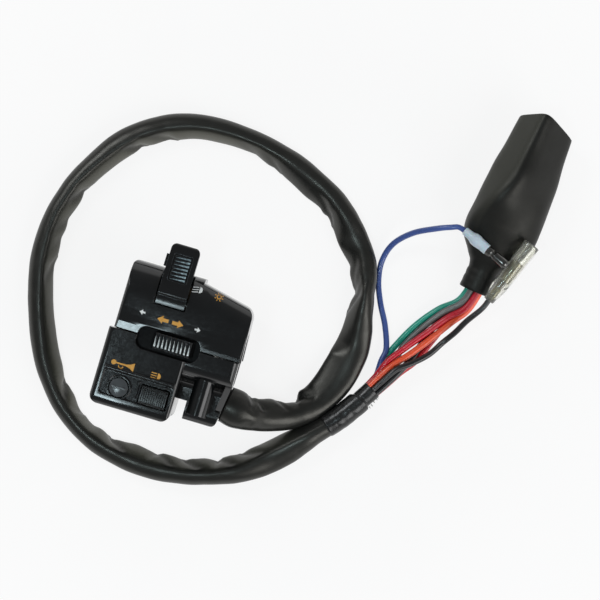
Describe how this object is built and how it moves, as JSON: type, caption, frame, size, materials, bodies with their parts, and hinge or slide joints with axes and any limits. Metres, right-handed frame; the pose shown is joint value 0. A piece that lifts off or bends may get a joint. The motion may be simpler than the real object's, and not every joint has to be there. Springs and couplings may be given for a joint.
{
  "type": "handlebar switch cluster",
  "caption": "Left-hand handlebar switch cluster in a split black clamp housing with dimmer lever, turn knob, horn and flash buttons, and a wiring loom with booted connector.",
  "frame": {"origin": "centre of the handlebar bore, halfway along the upper half and on the split plane", "axes": "+X along the handlebar towards the loom outlet, +Y from the lower half to the upper half, +Z from the back of the housing to the switch face"},
  "size_m": [0.1871, 0.1762, 0.0458],
  "materials": {
    "shell_black": "moulded, semi-gloss",
    "lever_black": "moulded, semi-gloss",
    "button_grey": "satin",
    "zinc_steel": "zinc plated",
    "bright_steel": "drawn",
    "contact_brass": "stamped",
    "brown_board": "paper laminate",
    "sleeve_pvc": "soft, satin",
    "tape_black": "wound tape",
    "pvc_green": "extruded",
    "pvc_grey": "extruded",
    "pvc_crimson": "extruded",
    "pvc_orange": "extruded",
    "pvc_red": "extruded",
    "pvc_blue": "extruded",
    "pvc_black": "extruded",
    "boot_rubber": "soft, satin",
    "nylon_white": "natural",
    "tinned_brass": "tinned",
    "cuff_pale": "soft",
    "clear_pvc": "clear, slightly yellow"
  },
  "bodies": {
    "housing": {"upper_housing": "shell_black", "lower_housing": "shell_black", "clamp_screws": "zinc_steel", "dimmer_pivot_pin": "zinc_steel", "dimmer_base": "brown_board", "dimmer_fixed_contacts": "contact_brass", "turn_base": "brown_board", "turn_fixed_contacts": "contact_brass", "board_screws": "zinc_steel", "horn_spring": "bright_steel", "pass_spring": "bright_steel", "button_board": "brown_board", "button_contacts": "contact_brass", "cable_grommet": "boot_rubber", "loom_sleeve": "sleeve_pvc", "tape_wrap": "tape_black", "wire_green": "pvc_green", "wire_grey": "pvc_grey", "wire_crimson": "pvc_crimson", "wire_orange": "pvc_orange", "wire_dark": "pvc_black", "wire_red": "pvc_red", "lead_blue": "pvc_blue", "lead_black": "pvc_black", "connector_boot": "boot_rubber", "connector_housing": "nylon_white", "connector_terminals": "contact_brass", "bullet_terminal": "tinned_brass", "bullet_sleeve": "cuff_pale", "receptacle_terminal": "contact_brass", "receptacle_sleeve": "clear_pvc"},
    "dimmer": {"dimmer_lever": "lever_black", "dimmer_detent_ball": "bright_steel", "dimmer_detent_spring": "bright_steel", "dimmer_moving_contact": "contact_brass"},
    "turn": {"turn_knob": "lever_black", "turn_slider": "lever_black", "turn_moving_contact": "contact_brass", "turn_detent_ball": "bright_steel", "turn_detent_spring": "bright_steel"},
    "horn": {"horn_button": "button_grey", "horn_moving_contact": "contact_brass"},
    "pass": {"pass_button": "lever_black", "pass_moving_contact": "contact_brass"}
  },
  "joints": [
    {"name": "dimmer_tilt", "type": "hinge", "parent": "housing", "child": "dimmer", "pos_m": [0, 0.0149, 0.0099], "axis": [1, 0, 0], "range_deg": [-20, 0]},
    {"name": "turn_slide", "type": "slide", "parent": "housing", "child": "turn", "axis": [1, 0, 0], "range_m": [-0.005, 0]},
    {"name": "horn_press", "type": "slide", "parent": "housing", "child": "horn", "axis": [0, 0, -1], "range_m": [0, 0.002], "stiffness_N_per_m": 300, "springref_m": -0.003, "deforming": ["horn_spring"]},
    {"name": "pass_press", "type": "slide", "parent": "housing", "child": "pass", "axis": [0, 0, -1], "range_m": [0, 0.002], "stiffness_N_per_m": 300, "springref_m": -0.003, "deforming": ["pass_spring"]}
  ]
}
